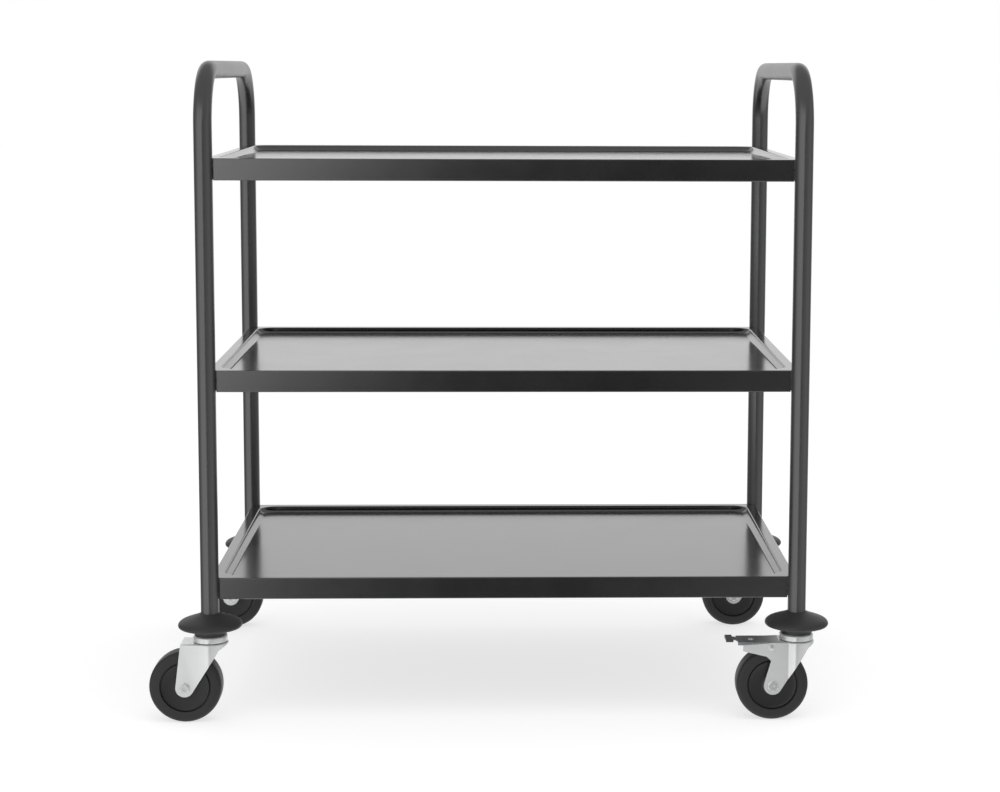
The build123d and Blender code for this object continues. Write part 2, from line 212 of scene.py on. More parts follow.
def wear_group():
    """Edges (rubbed, on the lever painted highlights) and where the finish lies a little unevenly, as masks.
    """
    group = bpy.data.node_groups.new("edge_wear", "ShaderNodeTree")
    for name, value in (("Width", 1 * mm), ("Patches", 12.0)):
        group.interface.new_socket(name, in_out="INPUT", socket_type="NodeSocketFloat").default_value = value
    group.interface.new_socket("Edge", in_out="OUTPUT", socket_type="NodeSocketFloat")
    group.interface.new_socket("Patch", in_out="OUTPUT", socket_type="NodeSocketFloat")
    given = group.nodes.new("NodeGroupInput")
    place = add_node(group, "ShaderNodeTexCoord").outputs["Object"]
    rounded = add_node(group, "ShaderNodeBevel", samples=4, inputs={"Radius": given.outputs["Width"]})
    flat = add_node(group, "ShaderNodeNewGeometry").outputs["Normal"]
    same = add_node(group, "ShaderNodeVectorMath", operation="DOT_PRODUCT", inputs={
        0: rounded.outputs[0], 1: flat})
    still_flat, full_edge = 0.985, 0.85
    edge = blend(group, still_flat, full_edge, same.outputs["Value"])
    noise = add_node(group, "ShaderNodeTexNoise", inputs={
        "Vector": place, "Scale": given.outputs["Patches"], "Detail": 4.0, "Roughness": 0.55})
    patch_start, patch_full = 0.35, 0.65
    patch = blend(group, patch_start, patch_full, noise.outputs["Fac"])
    rubbed = add_node(group, "ShaderNodeMath", operation="MULTIPLY", inputs={0: edge, 1: patch})
    add_node(group, "NodeGroupOutput", inputs={"Edge": rubbed.outputs[0], "Patch": patch})
    return group


grain, wear = grain_group(), wear_group()


def finish_of(name, colour, edge_colour, roughness, spread, metallic=0.0, ior=1.5, coat=0.0,
              grain_size=400.0, grain_depth=0.1, edge_width=1 * mm):
    """A finish with grain, slight patches and edge colour: rubbed edges, the lever's painted highlights."""
    dull_part = 0.93
    material = bpy.data.materials.new(name)
    material.use_nodes = True
    tree = material.node_tree
    tree.nodes.clear()
    grained = add_node(tree, "ShaderNodeGroup", node_tree=grain, inputs={
        "Size": grain_size, "Depth": grain_depth})
    worn = add_node(tree, "ShaderNodeGroup", node_tree=wear, inputs={"Width": edge_width})
    uneven = add_node(tree, "ShaderNodeMix", data_type="RGBA", inputs={
        "Factor": worn.outputs["Patch"],
        "A": (*[dull_part * share for share in colour], 1), "B": (*colour, 1)})
    shown = add_node(tree, "ShaderNodeMix", data_type="RGBA", inputs={
        "Factor": worn.outputs["Edge"], "A": uneven.outputs["Result"], "B": (*edge_colour, 1)})
    rough = add_node(tree, "ShaderNodeMapRange", inputs={
        "Value": worn.outputs["Patch"], "To Min": roughness - spread, "To Max": roughness + spread})
    skin = add_node(tree, "ShaderNodeBsdfPrincipled", inputs={
        "Base Color": shown.outputs["Result"], "Roughness": rough.outputs[0], "Metallic": metallic,
        "IOR": ior, "Coat Weight": coat, "Coat Roughness": roughness,
        "Normal": grained.outputs["Normal"]})
    add_node(tree, "ShaderNodeOutputMaterial", inputs={"Surface": skin.outputs[0]})
    return material


powder_coat = finish_of("black_powder_coat", coat_black, coat_rubbed, roughness=0.17, spread=0.01,
                        ior=coat_gloss, coat=0.25, grain_size=900.0, grain_depth=0.05)
tube_coat = finish_of("black_tube_coat", coat_black, coat_rubbed, roughness=0.3, spread=0.01,
                      ior=coat_gloss, grain_size=900.0, grain_depth=0.05)


def begin(add_primitive, **place):
    """Adds a primitive with nothing else selected and opens it for editing."""
    bpy.ops.object.select_all(action="DESELECT")
    add_primitive(**place)
    bpy.ops.object.mode_set(mode="EDIT")
    bpy.ops.mesh.select_all(action="SELECT")
    return bpy.context.object


def close(piece, name, material, body, stands_for, smooth=30, flats=False):
    """Puts a finished piece's place into its mesh, smooths its round faces and rides it on its body."""
    if piece.mode == "EDIT":
        bpy.ops.object.mode_set(mode="OBJECT")
    bpy.ops.object.select_all(action="DESELECT")
    piece.select_set(True)
    bpy.context.view_layer.objects.active = piece
    bpy.ops.object.transform_apply(location=True, rotation=True, scale=True)
    bpy.ops.object.shade_smooth_by_angle(angle=math.radians(smooth))
    if flats:
        apply_modifier(piece, "WEIGHTED_NORMAL", weight=50, keep_sharp=True)
    piece.name = piece.data.name = name
    piece.data.materials.clear()
    piece.data.materials.append(material)
    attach(piece, body)
    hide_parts(*stands_for)


def apply_modifier(piece, kind, **settings):
    """Gives a piece a modifier with its settings, and applies it."""
    if piece.mode == "EDIT":
        bpy.ops.object.mode_set(mode="OBJECT")
    bpy.ops.object.select_all(action="DESELECT")
    piece.select_set(True)
    bpy.context.view_layer.objects.active = piece
    modifier = piece.modifiers.new(kind.lower(), kind)
    for key, value in settings.items():
        setattr(modifier, key, value)
    bpy.ops.object.modifier_apply(modifier=modifier.name)


def turn_on(steps, degrees, centre, axis):
    """Extrudes what is selected round an axis. With no window, the operator turns the other way."""
    bpy.ops.mesh.spin(steps=steps, angle=-math.radians(degrees), center=centre, axis=axis)


def draw_on(x=0.0, y=0.0, z=0.0):
    """Extrudes what is selected by a distance."""
    bpy.ops.mesh.extrude_region_move(TRANSFORM_OT_translate={"value": (x, y, z)})


for side in ("left", "right"):
    low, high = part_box(f"{side}_end_frame")
    x = (low.x + high.x) / 2
    bend_z = handle_top - tube_radius - tube_bend
    bend_y = leg_back - tube_bend
    tube = begin(bpy.ops.mesh.primitive_circle_add, vertices=tube_sides, radius=tube_radius,
                 location=(x, -leg_back, tube_foot))
    draw_on(z=bend_z - tube_foot)
    turn_on(tube_bend_steps, 90, (x, -bend_y, bend_z), (-1, 0, 0))
    draw_on(y=2 * bend_y)
    turn_on(tube_bend_steps, 90, (x, bend_y, bend_z), (-1, 0, 0))
    draw_on(z=tube_foot - bend_z)
    bpy.ops.mesh.select_all(action="SELECT")
    bpy.ops.mesh.remove_doubles(threshold=same_place)
    bpy.ops.mesh.normals_make_consistent(inside=False)
    apply_modifier(tube, "SOLIDIFY", thickness=tube_wall, offset=-1)
    close(tube, f"{side}_end_tube", tube_coat, "trolley_frame", [f"{side}_end_frame"])

# Each tray is one steel sheet of 1 mm: a panel pressed 8 mm deep inside a flat rim, with four lips
# folded down and their feet turned in. It is notched round the legs, and a web is welded across
# each corner under the rim, for the bolt into the leg.
sheet, rim_fold = 1 * mm, 1.3 * mm
lip_height, lip_return = 30 * mm, 8 * mm
leg_notch, notch_sides, fold_steps = 13.8 * mm, 96, 4
web_from_leg, web_hole, web_edge, bolt_drop = 16 * mm, 3.3 * mm, 0.15 * mm, 19 * mm
opening_length, opening_width, opening_corner = 780 * mm, 464 * mm, 25 * mm
recess_run, recess_depth, top_bend, foot_bend = 2.4 * mm, 8 * mm, 1.1 * mm, 7 * mm
corner_steps, top_bend_steps, foot_bend_steps, panel_rim = 12, 3, 6, 2 * mm
leg_places = [((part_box(f"{side}_end_frame")[0].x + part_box(f"{side}_end_frame")[1].x) / 2, y)
              for side in ("left", "right") for y in (-leg_back, leg_back)]


def select_edges(piece, wanted):
    """Selects the edges of a piece whose two ends pass a test."""
    bpy.ops.mesh.select_mode(type="EDGE")
    bpy.ops.mesh.select_all(action="DESELECT")
    bpy.ops.object.mode_set(mode="OBJECT")
    for edge in piece.data.edges:
        edge.select = wanted([piece.matrix_world @ piece.data.vertices[i].co for i in edge.vertices])
    bpy.ops.object.mode_set(mode="EDIT")


def join_ends(piece, wanted):
    """Draws an edge between the two points of a piece whose places pass a test."""
    bpy.ops.mesh.select_mode(type="VERT")
    bpy.ops.mesh.select_all(action="DESELECT")
    bpy.ops.object.mode_set(mode="OBJECT")
    for point in piece.data.vertices:
        point.select = wanted(piece.matrix_world @ point.co)
    bpy.ops.object.mode_set(mode="EDIT")
    bpy.ops.mesh.edge_face_add()


def fold_down(middle, out):
    """Folds the selected edge of a rim down round a small radius, and its foot in under the tray."""
    along = Vector((0, 0, 1)).cross(out)
    turn_on(fold_steps, 90, middle - Vector((0, 0, rim_fold)), along)
    draw_on(z=2 * rim_fold - lip_height)
    turn_on(fold_steps, 90, middle - Vector((0, 0, lip_height - rim_fold)), along)
    inwards = out * (rim_fold - lip_return)
    draw_on(x=inwards.x, y=inwards.y)


def cut_with(piece, tool, operation):
    """Cuts a piece with a tool shape, or keeps what both share, and clears the tool away."""
    apply_modifier(piece, "BOOLEAN", operation=operation, object=tool, solver="EXACT")
    bpy.data.objects.remove(tool)


def joined(*pieces):
    """Several shapes as one piece."""
    bpy.ops.object.select_all(action="DESELECT")
    for piece in pieces:
        piece.select_set(True)
    bpy.context.view_layer.objects.active = pieces[0]
    bpy.ops.object.join()
    return pieces[0]


def folded_rim(middle, rim, flat_x, flat_y):
    """The outline of a tray's rim, notched round the legs, with the lips folded down from it."""
    sides = ((Vector((0, -1, 0)), flat_y), (Vector((0, 1, 0)), flat_y),
             (Vector((-1, 0, 0)), flat_x), (Vector((1, 0, 0)), flat_x))
    arcs = []
    for leg in leg_places:
        arcs.append(begin(bpy.ops.mesh.primitive_circle_add, vertices=notch_sides, radius=leg_notch,
                          location=(*leg, rim)))
        for out, reach in sides:
            bpy.ops.mesh.select_all(action="SELECT")
            bpy.ops.mesh.bisect(plane_co=middle + out * reach, plane_no=out, clear_outer=True,
                                threshold=0.001 * mm)
        bpy.ops.object.mode_set(mode="OBJECT")
    edge = joined(*arcs)
    bpy.ops.object.mode_set(mode="EDIT")
    for out, reach in sides:
        join_ends(edge, lambda place: abs((place - middle).dot(out) - reach) < same_place)
    for out, reach in sides:
        select_edges(edge, lambda ends: all(
            abs((end - middle).dot(out) - reach) < same_place and abs(end.z - rim) < same_place
            for end in ends))
        fold_down(middle + out * reach, out)
    bpy.ops.object.mode_set(mode="OBJECT")
    return edge


def corner_web(leg, low, high):
    """The plate across one corner of a tray, from lip to lip, with its bolt hole."""
    inwards = Vector((math.copysign(1, (low.x + high.x) / 2 - leg[0]), math.copysign(1, -leg[1]), 0))
    diagonal = inwards.normalized()
    place = Vector((*leg, high.z - lip_height / 2)) + diagonal * (web_from_leg + sheet / 2)
    to_end = abs(place.x - (low.x if inwards.x > 0 else high.x)) - sheet / 2
    to_side = abs(place.y - (low.y if inwards.y > 0 else high.y)) - sheet / 2
    web = begin(bpy.ops.mesh.primitive_cube_add, size=1)
    bpy.ops.transform.resize(value=(sheet, (to_end + to_side) * math.sqrt(2), lip_height - 2 * sheet))
    bpy.ops.mesh.bevel(offset=web_edge, segments=1, affect="EDGES")
    bpy.ops.object.mode_set(mode="OBJECT")
    along = Vector((-inwards.x, inwards.y, 0)) / 2
    web.location = place + along * (to_end - to_side)
    web.rotation_euler = (0, 0, math.atan2(diagonal.y, diagonal.x))
    drill = begin(bpy.ops.mesh.primitive_cylinder_add, vertices=24, radius=web_hole, depth=4 * sheet)
    bpy.ops.object.mode_set(mode="OBJECT")
    drill.location = (place.x, place.y, high.z - bolt_drop)
    drill.rotation_euler = (0, math.pi / 2, math.atan2(diagonal.y, diagonal.x))
    cut_with(web, drill, "DIFFERENCE")
    return web


def pressed_tray(node):
    """One tray with its recessed panel, rounded folds, lips, leg notches and corner webs."""
    low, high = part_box(node)
    rim = high.z
    middle = Vector(((low.x + high.x) / 2, (low.y + high.y) / 2, rim))

    panel = begin(bpy.ops.mesh.primitive_plane_add, size=1, location=middle)
    bpy.ops.transform.resize(value=(opening_length + 2 * panel_rim, opening_width + 2 * panel_rim, 1))
    bpy.ops.mesh.bevel(offset=opening_corner + panel_rim, segments=corner_steps, affect="VERTICES")
    bpy.ops.mesh.inset(thickness=panel_rim, depth=0)
    bpy.ops.mesh.inset(thickness=recess_run, depth=-recess_depth)
    bpy.ops.mesh.inset(thickness=2 * foot_bend, depth=0)

    def outside_opening(place):
        """How far a point lies outside the outline of the pressed opening."""
        x, y = abs(place.x - middle.x), abs(place.y - middle.y)
        corner = Vector((x - opening_length / 2 + opening_corner, y - opening_width / 2 + opening_corner))
        if min(corner) > 0:
            return corner.length - opening_corner
        return max(corner) - opening_corner

    near = 10 * same_place
    for out, z, width, steps in ((0, rim, top_bend, top_bend_steps),
                                 (-recess_run, rim - recess_depth, foot_bend, foot_bend_steps)):
        select_edges(panel, lambda ends: all(
            abs(outside_opening(end) - out) < near and abs(end.z - z) < near for end in ends))
        bpy.ops.mesh.bevel(offset=width, segments=steps, affect="EDGES")
    bpy.ops.object.mode_set(mode="OBJECT")

    flat_x, flat_y = (high.x - low.x) / 2 - rim_fold, (high.y - low.y) / 2 - rim_fold
    tray = joined(panel, folded_rim(middle, rim, flat_x, flat_y))
    bpy.ops.object.mode_set(mode="EDIT")
    select_edges(tray, lambda ends: all(
        abs(end.z - rim) < same_place and outside_opening(end) > top_bend + near for end in ends))
    bpy.ops.mesh.fill()
    bpy.ops.mesh.select_all(action="SELECT")
    bpy.ops.mesh.remove_doubles(threshold=same_place)
    bpy.ops.mesh.normals_make_consistent(inside=False)
    bpy.ops.object.mode_set(mode="OBJECT")
    apply_modifier(tray, "SOLIDIFY", thickness=sheet, offset=-1, use_even_offset=True)
    tray = joined(tray, *[corner_web(leg, low, high) for leg in leg_places])
    close(tray, node.replace("tray", "pressed_tray"), powder_coat, "trolley_frame", [node],
          smooth=40, flats=True)


for level in ("bottom", "middle", "top"):
    pressed_tray(f"{level}_tray")

# Twelve M6 bolts hold the trays: each goes from inside a corner web through a nut, which keeps
# the web off the leg, and into the leg. All are bright zinc-plated steel.
bolt_radius, bolt_core, bolt_foot, bolt_point = 3 * mm, 2.55 * mm, 4.5 * mm, 0.5 * mm
bolt_flats, bolt_head = 10 * mm, 4 * mm
spacer_foot, spacer_bore = 12.55 * mm, 3.3 * mm
fastener_steel = finish_of("zinc_plated_fasteners", (0.82, 0.82, 0.83), (0.9, 0.9, 0.9),
                           roughness=0.3, spread=0.05, metallic=0.8, grain_size=700.0, grain_depth=0.04,
                           edge_width=0.6 * mm)
joint_place = {joint["name"]: Vector(joint["pos_m"]) for joint in frame["record"]["behaviour"]["joints"]}
corners = ("front_left", "front_right", "rear_left", "rear_right")
leg_place = {corner: joint_place[f"caster_swivel_{corner}"].xy for corner in corners}


def turned_piece(rings, sides, ends="loop"):
    """A turned shape: a circle drawn through rings of radius and height, closed as a loop or with discs."""
    radius, height = rings[0]
    piece = begin(bpy.ops.mesh.primitive_circle_add, vertices=sides, radius=radius, location=(0, 0, height))
    bpy.ops.mesh.select_mode(type="EDGE")
    if ends == "discs":
        bpy.ops.mesh.select_all(action="SELECT")
        bpy.ops.mesh.edge_face_add()
        bpy.ops.mesh.select_all(action="SELECT")
        bpy.ops.mesh.select_mode(type="EDGE")
    for next_radius, next_height in rings[1:] + (rings[:1] if ends == "loop" else []):
        bpy.ops.mesh.extrude_edges_move(TRANSFORM_OT_translate={"value": (0, 0, next_height - height)})
        grown = next_radius / radius
        bpy.ops.transform.resize(value=(grown, grown, 1), center_override=(0, 0, next_height))
        radius, height = next_radius, next_height
    if ends == "discs":
        bpy.ops.mesh.edge_face_add()
    bpy.ops.mesh.select_all(action="SELECT")
    bpy.ops.mesh.remove_doubles(threshold=0.005 * mm)
    bpy.ops.mesh.normals_make_consistent(inside=False)
    bpy.ops.object.mode_set(mode="OBJECT")
    bpy.ops.object.transform_apply(location=True)
    return piece


def hexagon(flats, foot, top, bore=0.0, both_faces=False):
    """A hexagon head or nut with its corners turned off at 30 degrees, and a dimple in a head's top."""
    piece = begin(bpy.ops.mesh.primitive_cylinder_add, vertices=6, radius=flats / math.sqrt(3),
                  depth=top - foot, location=(0, 0, (top + foot) / 2))
    bpy.ops.object.mode_set(mode="OBJECT")
    bpy.ops.object.transform_apply(location=True)
    face, wide = 0.475 * flats, 0.62 * flats
    dimple_rim, dimple_floor, dimple_depth = 0.2 * flats, 0.12 * flats, 0.08 * flats
    slope = (wide - face) * math.tan(math.radians(30))
    foot_rings = [(face, foot), (wide, foot + slope)] if both_faces else [(wide, foot - mm)]
    dimple = [] if bore else [(dimple_rim, top), (dimple_floor, top - dimple_depth)]
    rings = [*foot_rings, (wide, top - slope), (face, top), *dimple]
    cut_with(piece, turned_piece(rings, sides=48, ends="discs"), "INTERSECT")
    if bore:
        drill = turned_piece([(bore, foot - mm), (bore, top + mm)], sides=32, ends="discs")
        cut_with(piece, drill, "DIFFERENCE")
    return piece


def copy_to(piece, place, turned=None):
    """A copy of a finished shape with a mesh of its own, put in its place."""
    other = piece.copy()
    other.data = piece.data.copy()
    bpy.context.collection.objects.link(other)
    other.location = place
    if turned is not None:
        other.rotation_euler = turned
    return other


bolt = joined(hexagon(bolt_flats, web_from_leg + sheet, web_from_leg + sheet + bolt_head),
              turned_piece([(bolt_core, bolt_foot), (bolt_radius, bolt_foot + bolt_point),
                            (bolt_radius, web_from_leg + sheet)], sides=24, ends="discs"))
spacer = hexagon(bolt_flats, spacer_foot, web_from_leg, spacer_bore, both_faces=True)
for level in ("bottom", "middle", "top"):
    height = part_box(f"{level}_tray")[1].z - bolt_drop
    for corner in corners:
        place = Vector((*leg_place[corner], height))
        inwards = Vector((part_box(f"{level}_tray")[0].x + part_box(f"{level}_tray")[1].x, 0, 0)) / 2 - place
        inwards = Vector((math.copysign(1, inwards.x), math.copysign(1, inwards.y), 0))
        turned = inwards.to_track_quat("Z", "Y").to_euler()
        close(copy_to(bolt, place, turned), f"tray_bolt_{level}_{corner}", fastener_steel,
              "trolley_frame", ["tray_bolts"])
        close(copy_to(spacer, place, turned), f"spacer_nut_{level}_{corner}", fastener_steel,
              "trolley_frame", ["tray_spacer_nuts"])
bpy.data.objects.remove(bolt)
bpy.data.objects.remove(spacer)

# A moulded rubber bumper sits round the foot of each leg: a domed disc with a round rim
# and a neck below, held between the leg and the caster's cap by the caster's stem.
cap_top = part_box("swivel_caps")[1].z
stem_hole = 6.05 * mm
bumper_rubber = finish_of("bumper_rubber", (0.034, 0.034, 0.035), (0.045, 0.045, 0.046),
                          roughness=0.48, spread=0.04, grain_size=1300.0, grain_depth=0.16)


def in_mm(rings, foot=0.0):
    """Rings of radius and height in millimetres, set up from a foot."""
    return [(radius * mm, foot + height * mm) for radius, height in rings]


bumper_rings = in_mm([
    (6.05, 0), (20.9, 0), (21.5, 0.6), (21.5, 7), (22.2, 8.1), (24, 8.7), (40, 10.2), (42.3, 11),
    (43.6, 12.4), (44, 14), (43.7, 15.6), (42.8, 17.2), (41.4, 18.6), (39.6, 19.8), (36, 21.4), (31, 23.3),
    (25, 25.4), (19, 27.6), (15, 29.4), (13.6, 30.3), (12.9, 30.5), (12.55, 30.2), (12.55, 17),
    (6.05, 17)], cap_top)
bumper = turned_piece(bumper_rings, sides=96)
for corner in corners:
    close(copy_to(bumper, (*leg_place[corner], 0)), f"bumper_{corner}", bumper_rubber,
          "trolley_frame", ["bumpers"], smooth=40)
bpy.data.objects.remove(bumper)

# Each caster hangs on a threaded steel stem, screwed into a plastic plug inside the leg.
# Its broad head and its rivet hold the fork from below.
stem_head_top, stem_top = 108.7 * mm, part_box("caster_stems")[1].z
thread_foot, thread_pitch = cap_top + 2 * mm, 1.75 * mm
crest_radius, root_radius = 5.99 * mm, 5.09 * mm
stem_rings = in_mm([(8, -5), (8.5, -4.7), (8.5, -4), (12.5, -3.1), (13.6, -2.6), (14, -2), (14, -0.4),
                    (13.6, 0), (6, 0)], stem_head_top)
stem_rings += in_mm([(5.95, -0.2)], thread_foot)
height, radius = thread_foot, crest_radius
while height < stem_top - thread_pitch:
    stem_rings.append((radius, height))
    height += thread_pitch / 2
    radius = crest_radius + root_radius - radius
stem_rings += in_mm([(5, -0.4), (4.4, 0)], stem_top)
plug_rings = in_mm([(6.05, 0.3), (10.2, 0.3), (10.9, 1.2), (10.9, 29), (10.4, 30), (7, 30), (6.05, 29.2)],
                   tube_foot)
plug_plastic = finish_of("plug_plastic", (0.02, 0.02, 0.02), (0.03, 0.03, 0.03), roughness=0.45, spread=0.04,
                         grain_size=1500.0)
stem = turned_piece(stem_rings, sides=48, ends="discs")
plug = turned_piece(plug_rings, sides=48)
for corner in corners:
    close(copy_to(stem, (*leg_place[corner], 0)), f"caster_stem_{corner}", fastener_steel,
          "trolley_frame", ["caster_stems"])
    close(copy_to(plug, (*leg_place[corner], 0)), f"stem_plug_{corner}", plug_plastic,
          "trolley_frame", ["stem_plugs"])
bpy.data.objects.remove(stem)
bpy.data.objects.remove(plug)

# The swivel bearing is a pressed zinc-plated cap over a ring of hardened balls,
# which run on the fork's head. The cap is clamped under the bumper.
zinc = finish_of("bright_zinc", (0.96, 0.965, 0.97), (0.97, 0.97, 0.97), roughness=0.25, spread=0.02,
                 metallic=0.45, grain_size=600.0, grain_depth=0.015, edge_width=0.8 * mm)
ball_steel = finish_of("polished_balls", (0.7, 0.7, 0.72), (0.75, 0.75, 0.76), roughness=0.08, spread=0.02,
                       metallic=1.0, grain_depth=0.0)
cap_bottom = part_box("swivel_caps")[0].z
cap_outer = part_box("swivel_caps")[1].x - leg_place["front_right"].x
rim, bore = cap_outer / mm, stem_hole / mm
cap_rings = in_mm([(bore, 0), (rim - 2.6, 0), (rim - 1.5, -0.3), (rim - 0.7, -0.9), (rim - 0.15, -1.8),
                   (rim, -2.8)], cap_top)
cap_rings += in_mm([(rim, 0.4), (rim - 0.4, 0), (rim - 1.9, 0), (rim - 2.2, 0.3)], cap_bottom)
cap_rings += in_mm([(rim - 2.2, -3.4), (rim - 3.4, -2.2), (bore, -2.2)], cap_top)
cap = turned_piece(cap_rings, sides=80)
ball_radius, ball_circle, ball_height, ball_count = 3.2 * mm, 18 * mm, 115 * mm, 17
balls = []
for number in range(ball_count):
    turn = 2 * math.pi * number / ball_count
    ball = begin(bpy.ops.mesh.primitive_ico_sphere_add, subdivisions=3, radius=ball_radius,
                 location=(ball_circle * math.cos(turn), ball_circle * math.sin(turn), ball_height))
    bpy.ops.object.mode_set(mode="OBJECT")
    bpy.ops.object.transform_apply(location=True)
    balls.append(ball)
balls = joined(*balls)
for corner in corners:
    close(copy_to(cap, (*leg_place[corner], 0)), f"swivel_cap_{corner}", zinc,
          "trolley_frame", ["swivel_caps"], smooth=40)
    close(copy_to(balls, (*leg_place[corner], 0)), f"swivel_balls_{corner}", ball_steel,
          "trolley_frame", ["swivel_ball_rings"], smooth=60)
bpy.data.objects.remove(cap)
bpy.data.objects.remove(balls)

# Each fork is pressed from zinc-plated sheet of 2.5 mm: a round head meets two flat legs in a
# crease, and the legs taper to the axle. At the right end the legs have wings for the brake's pin.
axle = joint_place["wheel_spin_front_left"] - Vector((*leg_place["front_left"], 0))
pivot = joint_place["brake_pedal_front_right"] - Vector((*leg_place["front_right"], 0))
fork_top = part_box("caster_fork_front_left")[1].z
fork_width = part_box("caster_fork_front_left")[1].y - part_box("caster_fork_front_left")[0].y
head_overhang = 2 * mm
fork_half = fork_width / 2 - head_overhang
fork_sheet, fork_head, fork_foot, fork_bend = 2.5 * mm, 25 * mm, 12.5 * mm, 1.8 * mm
plate_front = axle.x - 5 * mm
skirt_foot, skirt_edge = (14 * mm, fork_top - 8.5 * mm), fork_top - 2 * mm
wing_end, wing_droop, wing_depth = pivot.x - 39 * mm, 4 * mm, 8 * mm
wing_root = (pivot.x, fork_top - 26 * mm)
wing_plate_end, wing_root_rise = cap_outer + 2 * mm, 6 * mm
axle_hole, pin_hole, sheared_edge = 4.05 * mm, 2.55 * mm, 0.35 * mm
head_steps, foot_steps = 48, 40


def touching(point, centre, radius, side):
    """Where a straight line from a point touches a circle, as the angle and the place of the touch."""
    way = Vector(point) - Vector(centre)
    angle = math.atan2(way.y, way.x) + side * math.acos(radius / way.length)
    return angle, Vector(centre) + radius * Vector((math.cos(angle), math.sin(angle)))


def drawn_block(points, depth, arc_after=None, arc=()):
    """A block from its outline, drawn point by point with one arc in it, and pushed out by a depth."""
    block = begin(bpy.ops.mesh.primitive_plane_add, size=mm, location=points[0])
    bpy.ops.mesh.select_mode(type="VERT")
    bpy.ops.mesh.select_all(action="SELECT")
    bpy.ops.mesh.merge(type="CENTER")
    for number, (here, there) in enumerate(zip(points, points[1:])):
        if number == arc_after:
            turn_on(*arc)
        else:
            draw_on(*(Vector(there) - Vector(here)))
    bpy.ops.mesh.select_all(action="SELECT")
    bpy.ops.mesh.edge_face_add()
    draw_on(*depth)
    bpy.ops.mesh.select_all(action="SELECT")
    bpy.ops.mesh.normals_make_consistent(inside=False)
    bpy.ops.object.mode_set(mode="OBJECT")
    bpy.ops.object.transform_apply(location=True)
    return block


def fork_block(half_width, head, foot, top):
    """The space in or round a fork: a round head and two straight legs to the left."""
    crease_x = -math.sqrt(head ** 2 - half_width ** 2)
    turn = math.atan2(-half_width, crease_x)
    plan = [(2 * wing_end, -half_width), (crease_x, -half_width), (crease_x, half_width),
            (2 * wing_end, half_width)]
    return drawn_block([(x, y, foot) for x, y in plan], (0, 0, top - foot), 1,
                       (head_steps, -2 * math.degrees(turn), (0, 0, foot), (0, 0, 1)))


def side_outline(braked):
    """A fork's outline from the side, as a block that goes right through it."""
    root = wing_root if braked else (plate_front, fork_top)
    left_turn, left_touch = touching(root, axle.xz, fork_foot, 1)
    right_turn, right_touch = touching(skirt_foot, axle.xz, fork_foot, -1)
    wing = [(root[0] - wing_root_rise, root[1] + wing_root_rise),
            (wing_end, fork_top - wing_droop - wing_depth),
            (wing_end, fork_top - wing_droop), (-wing_plate_end, fork_top)] if braked else []
    outline = [skirt_foot, right_touch, left_touch, root, *wing, (fork_head, fork_top),
               (fork_head, skirt_edge)]
    front = -2 * fork_half
    return drawn_block([(x, front, z) for x, z in outline], (0, -2 * front, 0), 1,
                       (foot_steps, math.degrees(right_turn - left_turn) % 360, (axle.x, front, axle.z),
                        (0, 1, 0)))


def pressed_fork(braked):
    """A fork of one bent sheet, cut to its side outline and drilled."""
    fork = fork_block(fork_half, fork_head, 0, fork_top)
    bpy.ops.object.mode_set(mode="EDIT")
    select_edges(fork, lambda ends: all(abs(end.z - fork_top) < same_place for end in ends))
    bpy.ops.mesh.bevel(offset=fork_bend, segments=4, affect="EDGES")
    bpy.ops.object.mode_set(mode="OBJECT")
    space = fork_half - fork_sheet
    cut_with(fork, fork_block(space, fork_head - fork_sheet, -mm, fork_top - fork_sheet), "DIFFERENCE")
    if braked:
        between_wings = [(2 * wing_end, -space, 0), (-wing_plate_end, -space, 0),
                         (-wing_plate_end, space, 0), (2 * wing_end, space, 0)]
        cut_with(fork, drawn_block(between_wings, (0, 0, 2 * fork_top)), "DIFFERENCE")
    cut_with(fork, side_outline(braked), "INTERSECT")
    drill_rings = [(stem_hole, fork_top - 2 * fork_sheet), (stem_hole, 2 * fork_top)]
    cut_with(fork, turned_piece(drill_rings, sides=48, ends="discs"), "DIFFERENCE")
    for place, radius in ((axle, axle_hole), (pivot, pin_hole)):
        if place is axle or braked:
            drill_rings = [(radius, -2 * fork_half), (radius, 2 * fork_half)]
            drill = turned_piece(drill_rings, sides=32, ends="discs")
            drill.rotation_euler = (math.pi / 2, 0, 0)
            drill.location = place
            cut_with(fork, drill, "DIFFERENCE")
    bpy.ops.object.mode_set(mode="EDIT")
    bpy.ops.mesh.select_all(action="SELECT")
    bpy.ops.mesh.remove_doubles(threshold=0.002 * mm)
    bpy.ops.mesh.dissolve_limited(angle_limit=math.radians(0.5))
    apply_modifier(fork, "BEVEL", width=sheared_edge, segments=2, limit_method="ANGLE",
                   angle_limit=math.radians(40), use_clamp_overlap=True)
    return fork


for braked, ends in ((False, ("front_left", "rear_left")), (True, ("front_right", "rear_right"))):
    fork = pressed_fork(braked)
    for corner in ends:
        close(copy_to(fork, (*leg_place[corner], 0)), f"fork_{corner}", zinc,
              f"caster_{corner}", [f"caster_fork_{corner}"], flats=True)
    bpy.data.objects.remove(fork)

# A wheel is a black moulded body with a slightly dished face and a boss, a rubber tyre round it
# and a nylon bush in it. A narrow groove shows between the body and the tyre.
tyre_rubber = finish_of("tyre_rubber", (0.022, 0.022, 0.023), (0.035, 0.035, 0.035),
                        roughness=0.5, spread=0.05, grain_size=1100.0, grain_depth=0.14)
wheel_plastic = finish_of("wheel_plastic", (0.014, 0.014, 0.0145), (0.025, 0.025, 0.025),
                          roughness=0.4, spread=0.03, grain_size=1600.0, grain_depth=0.08)
nylon = finish_of("nylon_bush", (0.75, 0.74, 0.7), (0.75, 0.74, 0.7),
                  roughness=0.4, spread=0.03, grain_size=1600.0, grain_depth=0.08)


